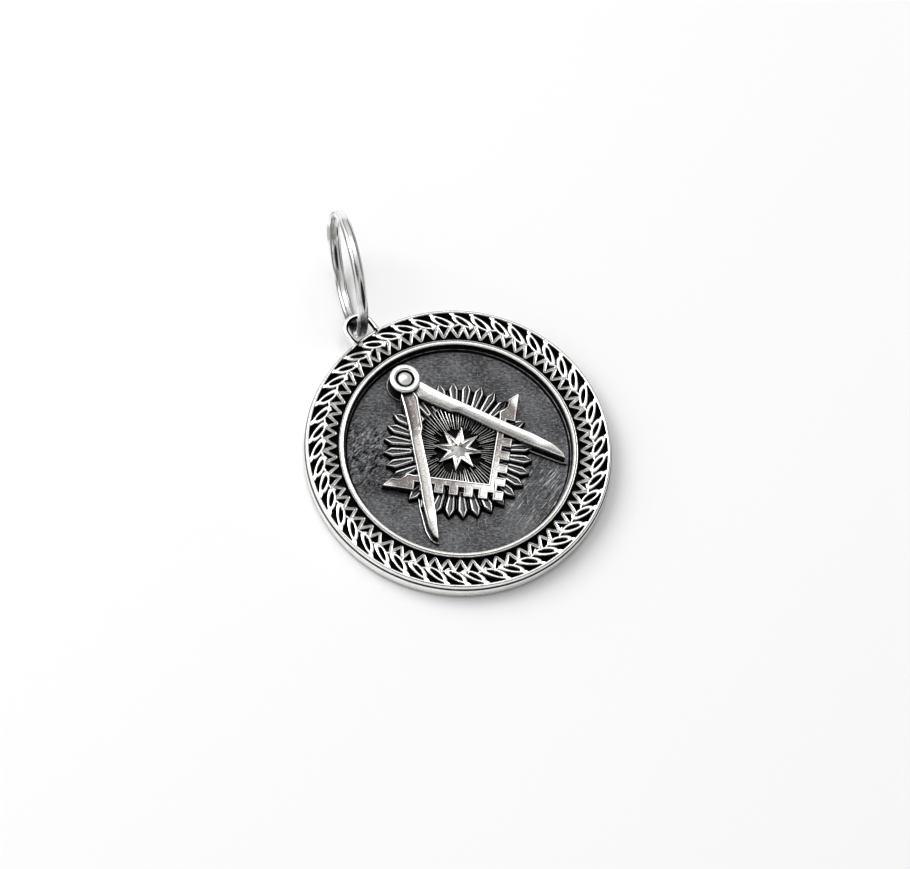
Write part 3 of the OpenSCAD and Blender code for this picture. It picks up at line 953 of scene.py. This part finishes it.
# %% [markdown]
# ## The foot lines and the finish of the legs
#
# The casting's foot is a little wider than the face of a leg, and shows beside its lower half as a fine
# pale line on the dark field. It is a thin ridge with its own finish. The faces of the legs get the same
# silver as the square. The left one turns brown above the shoulder, in its panel. The right one is paler,
# because its round top meets the cloth nearly everywhere. Both are rubbed white near the point.

# %% Rub the legs and add their foot lines
line_w, line_points, line_end_y = 0.14, 25, -7.35
line_wire = rounded(leg_foot, 1.32, 0.06, 4)


def foot_line(shape, side, reach, edge, off, top_y):
    """A fine ridge on the field beside a leg, from a height down past the leg's point."""
    path = []
    for i in range(line_points):
        y = top_y + (point_y - top_y) * i / (line_points - 1)
        path.append((side * (at_height(edge, y) + off) * reach, head_y + (y - head_y) * reach))
    path.append((side * 8.02 * reach, head_y + (line_end_y - head_y) * reach))
    taper = [0.3 + 0.7 * min(1.0, i / 5) for i in range(len(path))]
    carry(shape, path, line_w, line_wire, finish=1, taper=taper)


foot_line(left_leg, -1, left_reach, outside, 0.27, -1.6)
foot_line(right_leg, 1, right_reach, inside, -0.3, -1.0)
leg_foot_silver = worn_silver("leg_foot_silver", 1.2, 1.28, (0.8, 0.8, 0.8), roughness=0.22, stain=0.4,
                              pits=1.0)
left_pale, right_pale, leg_brown = (0.42, 0.406, 0.388), (0.48, 0.47, 0.452), (0.16, 0.143, 0.134)
left_silver = warm_silver("left_leg_silver", 1.85, 2.12, (2.4, 2.44), (2.8, 4.6), left_pale, leg_brown, 0.4,
                          [(-7.4, -5.6, 2.4, 1.0)])
right_silver = warm_silver("right_leg_silver", 1.95, 2.12, (2.4, 2.45), (5.0, 12.0), right_pale, leg_brown,
                           rubbed=[(7.6, -6.0, 3.0, 1.0)])
make_piece("left_leg", left_leg, "medal", ["compasses"], [left_silver, leg_foot_silver])
make_piece("right_leg", right_leg, "medal", ["compasses"], [right_silver, leg_foot_silver])

# %% [markdown]
# ## The head and the rivet
#
# The legs meet in a round head. A bright raised ring lies on it, and inside that ring sits a domed
# rivet in a dark gap. The head too has a wider foot, seen as a thin line on the field. Head, ring and
# rivet are turned forms on one upright axis.

# %% Turn the head and the rivet
head_r = 1.62
head_profile = [
    (0.0, leg_foot), (head_r + 0.17, leg_foot), (head_r + 0.17, 1.12), (head_r + 0.13, 1.18),
    (head_r + 0.07, 1.18), (head_r + 0.03, 1.1), (head_r, 1.3), (head_r - 0.02, 2.4), (head_r - 0.06, 2.52),
    (head_r - 0.12, 2.58), (head_r - 0.12, 2.64), (head_r - 0.05, 2.72), (head_r - 0.03, 2.84),
    (head_r - 0.05, 2.93), (head_r - 0.11, 3.01), (head_r - 0.2, 3.05), (1.14, 3.04), (1.03, 3.0),
    (0.97, 2.92), (0.95, 2.8), (0.94, 2.5), (0.0, 2.5),
]
head_finish = [0, 0, 1, 1] + [0] * (len(head_profile) - 5)


def at_head(profile, segments, finish=0):
    """A turned form on the axis of the head."""
    turned = turn_profile(Shape(), profile, finish, segments)
    turned.points = [(x, y + head_y, z) for x, y, z in turned.points]
    return turned


head_silver = worn_silver("head_silver", 2.6, 2.92, roughness=0.16, stain=0.1, pits=0.15)
head_foot = worn_silver("head_foot_silver", 1.1, 1.2, (0.6, 0.6, 0.6), roughness=0.3, stain=0.4, pits=1.0)
make_piece("compass_head", at_head(head_profile, 128, head_finish), "medal", ["compasses"],
           [head_silver, head_foot])
dome_r, dome_foot, dome_rise = 0.77, 2.62, 0.58
dome = [(dome_r * math.cos(a), dome_foot + dome_rise * math.sin(a))
        for a in (math.pi * k / 32 for k in range(1, 16))]
rivet_profile = [(0.0, 2.53), (0.8, 2.53), (0.79, 2.6)] + dome + [(0.0, 3.2)]
rivet_silver = worn_silver("rivet_silver", 2.72, 2.95, roughness=0.36, stain=0.1, pits=0.05)
make_piece("rivet_dome", at_head(rivet_profile, 64), "medal", ["compass_rivet"],
           [rivet_silver])

# %% [markdown]
# ## The star
#
# A plain eight-pointed star stands in the middle. It has a raised border, a dark channel, and facets
# that rise to a peak, in the way that stars on orders and medals are cut.

# %% Facet the star
star_points, star_tip, star_notch, star_peak = 8, 2.55, 1.2, 2.35
star_steps = [(0, 1.2), (0, 1.66), (0.02, 1.73), (0.06, 1.76), (0.11, 1.74), (0.14, 1.62), (0.18, 1.6)]
star_outline = []
for i in range(2 * star_points):
    radius = star_tip if i % 2 == 0 else star_notch
    star_outline.append(ringwise(90 + i * 180 / star_points, 0, radius))
star = terrace(Shape(), star_outline, star_steps)
facet_outline = inset(star_outline, 0.19)
facet_foot = [(x, y, 1.4) for x, y in facet_outline]
facet_edge = [(x, y, 1.7 if i % 2 == 0 else 1.45) for i, (x, y) in enumerate(facet_outline)]
star.loft([facet_foot, facet_edge, [(0, 0, star_peak)] * len(facet_edge)], caps=False)
star_silver = worn_silver("star_silver", 1.5, 1.62, roughness=0.14, stain=0.25, pits=0.3)
make_piece("eight_point_star", star, "medal", ["centre_star"], [star_silver], crease=12)

# %% [markdown]
# ## The bail ring
#
# The bail is a plain ring of half-round band with a fine groove along each side. It hangs in the eye and
# stands on the surface. The band was bent from a strip and soldered, and one side of it is wider at that
# seam. Hammering and wear leave it slightly uneven, so a little noise is added to its section. Without
# that the reflections would be perfect lines, which looks drawn.

# %% Bend the bail
bail_r, bail_t, bail_shift, bail_out = 6.6, 0.7, 0.15, 2.72
bail_turn = math.radians(-24)
bail_centre = Vector((bail_shift - bail_out * math.sin(bail_turn), eye_top + bail_out * math.cos(bail_turn),
                      bail_r))
bail_axis = Vector((math.cos(bail_turn), math.sin(bail_turn), 0))
bail_level = Vector((-math.sin(bail_turn), math.cos(bail_turn), 0))
half_band = [(0.0, 0.0), (0.36, 0.0), (0.46, 0.03), (0.52, 0.09), (0.55, 0.18), (0.55, 0.34),
             (0.545, 0.40), (0.505, 0.43), (0.505, 0.45), (0.52, 0.48), (0.49, 0.55), (0.42, 0.615),
             (0.3, 0.665), (0.15, 0.692)]
band_section = half_band + [(0.0, 0.7)] + [(-across, deep) for across, deep in half_band[:0:-1]]
seam_at, seam_spread, seam_swell = -18, 30, 0.5
bail_steps, hammer_mm = 200, 0.015
crown, skin, slim = 0.69, 0.003, 0.985
bail_rings = []
for i in range(bail_steps):
    a = 2 * math.pi * i / bail_steps
    outward = math.cos(a) * bail_level + math.sin(a) * Vector((0, 0, 1))
    off_seam = (math.degrees(a) + 180 - seam_at) % 360 - 180
    swell = 1 + seam_swell * math.exp(-(off_seam / seam_spread) ** 2)
    ring = []
    for across, deep in band_section:
        if across < 0:
            across *= swell
        wobble = hammer_mm * noise.noise(Vector((3 * math.cos(a), 3 * math.sin(a), 2.5 * across)))
        radius = bail_r - bail_t + min(deep, crown) + wobble * (deep / bail_t) * (1 if deep < 0.66 else 0.3)
        ring.append(bail_centre + (radius - skin) * outward + (across * slim) * bail_axis)
    bail_rings.append(ring)
bail = Shape().loft(bail_rings, closed=True)
print("The bail has", len(bail.points), "points")

# %% [markdown]
# ## Polishing the bail
#
# Fine dark lines run along the band's length. They are painted dark reflections, such as a polished band
# shows of a dark room, so the finish needs to know how far round and how far across the band a place
# lies. The angle round the ring and the distance along its axis give both. The lines wander and fade.
# Solder shows as a duller grey patch at the seam. Small spots of tarnish sit on the band. Painted shade
# darkens the foot where it sits in the eye, over sulphide that stays there, and a painted dark reflection
# lies on the inner side of the limb over the rim.

# %% Polish the bail
# Painted dark reflections: lines along the band, each as its place across the band and its width.
reflection_line_places = [(-0.5, 0.1), (-0.2, 0.06), (0.3, 0.07), (0.5, 0.08)]
tarnish_marks = [(-0.78, 0.28, -0.05, 0.15), (2.42, 0.3, 0.02, 0.18), (-0.24, 0.16, 0.16, 0.09)]
solder_at, solder_reach = -0.26, 0.26
# Painted shade where the bail's foot sits in the eye, over sulphide that stays there, and a painted dark
# reflection on the inner side of the limb over the rim, each as x, y, z and radius.
shade_by_eye, dark_reflection_over_rim = (-0.3, 17.2, 1.7, 2.6), (-1.37, 14.65, 6.8, 2.4)
bail_white, dull_grey = (0.95, 0.95, 0.94), (0.55, 0.54, 0.53)
reflection_line_black, solder_grey = (0.13, 0.13, 0.13), (0.4, 0.385, 0.37)


def bail_finish(name):
    """Polished silver, with painted dark reflections along and over the band and painted shade by the eye."""
    work = Finish(name)
    cloud = work.grain(0.5, 3)
    fine = work.grain(5.0, 3, shift=2.0)
    out = work.add("VectorMath", {0: work.place, 1: bail_centre}, operation="SUBTRACT").outputs["Vector"]
    across = work.add("VectorMath", {0: out, 1: bail_axis}, operation="DOT_PRODUCT").outputs["Value"]
    level = work.add("VectorMath", {0: out, 1: bail_level}, operation="DOT_PRODUCT").outputs["Value"]
    reach = work.add("VectorMath", {0: out}, operation="LENGTH").outputs["Value"]
    angle = work.calc("ARCTAN2", work.calc("SUBTRACT", work.height, bail_r), level)
    slow = work.add("CombineXYZ", {"X": work.calc("MULTIPLY", angle, 1.6), "Y": reach}).outputs["Vector"]
    wander = work.add("TexNoise", {"Vector": slow, "Scale": 1.0, "Detail": 1.0}).outputs["Fac"]
    across = work.calc("ADD", across, work.calc("MULTIPLY_ADD", wander, 0.5, -0.25))
    # Painted dark reflection lines along the band.
    lines = 0.0
    for where, width in reflection_line_places:
        off_line = work.calc("ABSOLUTE", work.calc("SUBTRACT", across, where))
        lines = work.calc("MAXIMUM", lines, work.ramp(off_line, width, 0.4 * width))
    lines = work.calc("MULTIPLY", lines, work.ramp(wander, 0.36, 0.52, 0.25, 0.9))
    marks = 0.0
    for mark_angle, half_angle, mark_across, half_across in tarnish_marks:
        round_it = work.calc("DIVIDE", work.calc("SUBTRACT", angle, mark_angle), half_angle)
        over_it = work.calc("DIVIDE", work.calc("SUBTRACT", across, mark_across), half_across)
        round_it, over_it = work.calc("MULTIPLY", round_it, round_it), work.calc("MULTIPLY", over_it, over_it)
        marks = work.calc("MAXIMUM", marks, work.ramp(work.calc("ADD", round_it, over_it), 1.1, 0.5))
    off_solder = work.calc("ABSOLUTE", work.calc("ADD", angle, -solder_at))
    solder = work.calc("MULTIPLY", work.ramp(off_solder, solder_reach, 0.12), work.ramp(across, 0.12, 0.02))
    # Painted dark reflection over the rim, and painted shade by the eye.
    reflection_over_rim = work.calc("MULTIPLY", work.near(*dark_reflection_over_rim), work.ramp(fine, 0.3, 0.6, 0.55, 0.95))
    painted_dark = work.calc("MAXIMUM", work.near(*shade_by_eye), reflection_over_rim)
    metal = work.blend(work.ramp(cloud, 0.42, 0.7, 0.0, 0.2), bail_white, dull_grey)
    metal = work.blend(lines, metal, reflection_line_black)
    metal = work.blend(work.calc("MULTIPLY", solder, 0.8), metal, solder_grey)
    painted_dark, marks = work.calc("MULTIPLY", painted_dark, 0.95), work.calc("MULTIPLY", marks, 0.97)
    colour = work.blend(work.calc("MAXIMUM", painted_dark, marks), metal, sulphide)
    bumps = work.relief(work.grain(1.2, 2, (1, 1, 0.4), shift=6.0), 0.006)
    return work.done(colour, work.ramp(fine, 0.3, 0.7, 0.18, 0.3, "LINEAR"), bumps)


make_piece("bail_band", bail, "bail", ["bail_ring"], [bail_finish("bail_silver")])

# %% [markdown]
# ## The floor
#
# The picture has a white floor without an edge. One large square of matt paper does that, a hair below
# the medal's back, so that the two never share a plane and flicker.

# %% Lay the floor
floor_half, floor_drop = 1500 * mm, 0.01 * mm
floor_corners = [(x * floor_half, y * floor_half, -floor_drop)
                 for x, y in ((-1, -1), (1, -1), (1, 1), (-1, 1))]
floor_mesh = bpy.data.meshes.new("floor")
floor_mesh.from_pydata(floor_corners, [], [(0, 1, 2, 3)])
floor = bpy.data.objects.new("floor", floor_mesh)
bpy.context.scene.collection.objects.link(floor)
paper = Finish("floor_paper")
paper.shader.inputs["Specular IOR Level"].default_value = 0.1
floor_mesh.materials.append(paper.done((0.93, 0.93, 0.93), 0.9, metallic=0.0))
print("Floor laid,", round(2 * floor_half / mm), "mm wide")

# %% [markdown]
# ## The room
#
# Polished metal shows the room, so the room needs some grey as well as white, or the silver would look
# like paper. The world is bright on the left and falls off slowly toward the other side. A dark
# patch stands round the camera, where a photographer would, so that what faces the camera squarely has
# something dark to mirror.

# %% Light the room
window = Vector((-0.7, 0.5, 0.6))
world = bpy.data.worlds.new("studio")
bpy.context.scene.world = world
world.use_nodes = True
sky = world.node_tree
background = next(n for n in sky.nodes if n.type == "BACKGROUND")
sky_place = sky.nodes.new("ShaderNodeTexCoord")


def sky_share(direction, wide, narrow, start, end):
    """How strongly a patch of the room shows: start outside the wide angle, end inside the narrow one."""
    dot = sky.nodes.new("ShaderNodeVectorMath")
    dot.operation = "DOT_PRODUCT"
    sky.links.new(sky_place.outputs["Generated"], dot.inputs[0])
    dot.inputs[1].default_value = direction.normalized()
    share = sky.nodes.new("ShaderNodeMapRange")
    share.interpolation_type = "SMOOTHSTEP"
    values = {"From Min": math.cos(math.radians(wide)), "From Max": math.cos(math.radians(narrow)),
              "To Min": start, "To Max": end}
    for key, value in values.items():
        share.inputs[key].default_value = value
    sky.links.new(dot.outputs["Value"], share.inputs["Value"])
    return share.outputs["Result"]


room = sky_share(window, 120, 30, 0.36, 0.86)
dark_patch = sky_share(toward_camera, 24, 13, 1.0, 0.06)
together = sky.nodes.new("ShaderNodeMath")
together.operation = "MULTIPLY"
sky.links.new(room, together.inputs[0])
sky.links.new(dark_patch, together.inputs[1])
sky.links.new(together.outputs[0], background.inputs["Strength"])
background.inputs["Color"].default_value = (1.0, 1.0, 1.0, 1)
print("Room lit from", tuple(round(c, 1) for c in window))

# %% [markdown]
# ## The lamps
#
# A large lamp from the upper left throws the soft shadows, and a smaller one from above gives the flat
# tops something to mirror. Both are square and wide for their distance, like soft boxes in a studio,
# because a small lamp would put hard sparks on every wire.

# %% Hang the lamps
def soft_lamp(name, toward, distance, size, watts):
    """A square lamp that faces the medal from a direction, with its distance and side in millimetres."""
    light = bpy.data.lights.new(name, "AREA")
    light.shape = "SQUARE"
    light.size = size * mm
    light.energy = watts
    lamp = bpy.data.objects.new(name, light)
    bpy.context.scene.collection.objects.link(lamp)
    lamp.location = Vector(toward).normalized() * distance * mm
    lamp.rotation_euler = (-lamp.location).to_track_quat("-Z", "Y").to_euler()
    print(f"{name}: {watts} W from {distance} mm")


soft_lamp("key_lamp", (-0.35, 0.85, 1.0), 700, 460, 2.7)
soft_lamp("top_lamp", (0.35, 0.3, 0.9), 800, 300, 0.6)
bpy.context.scene.view_settings.view_transform = "Standard"
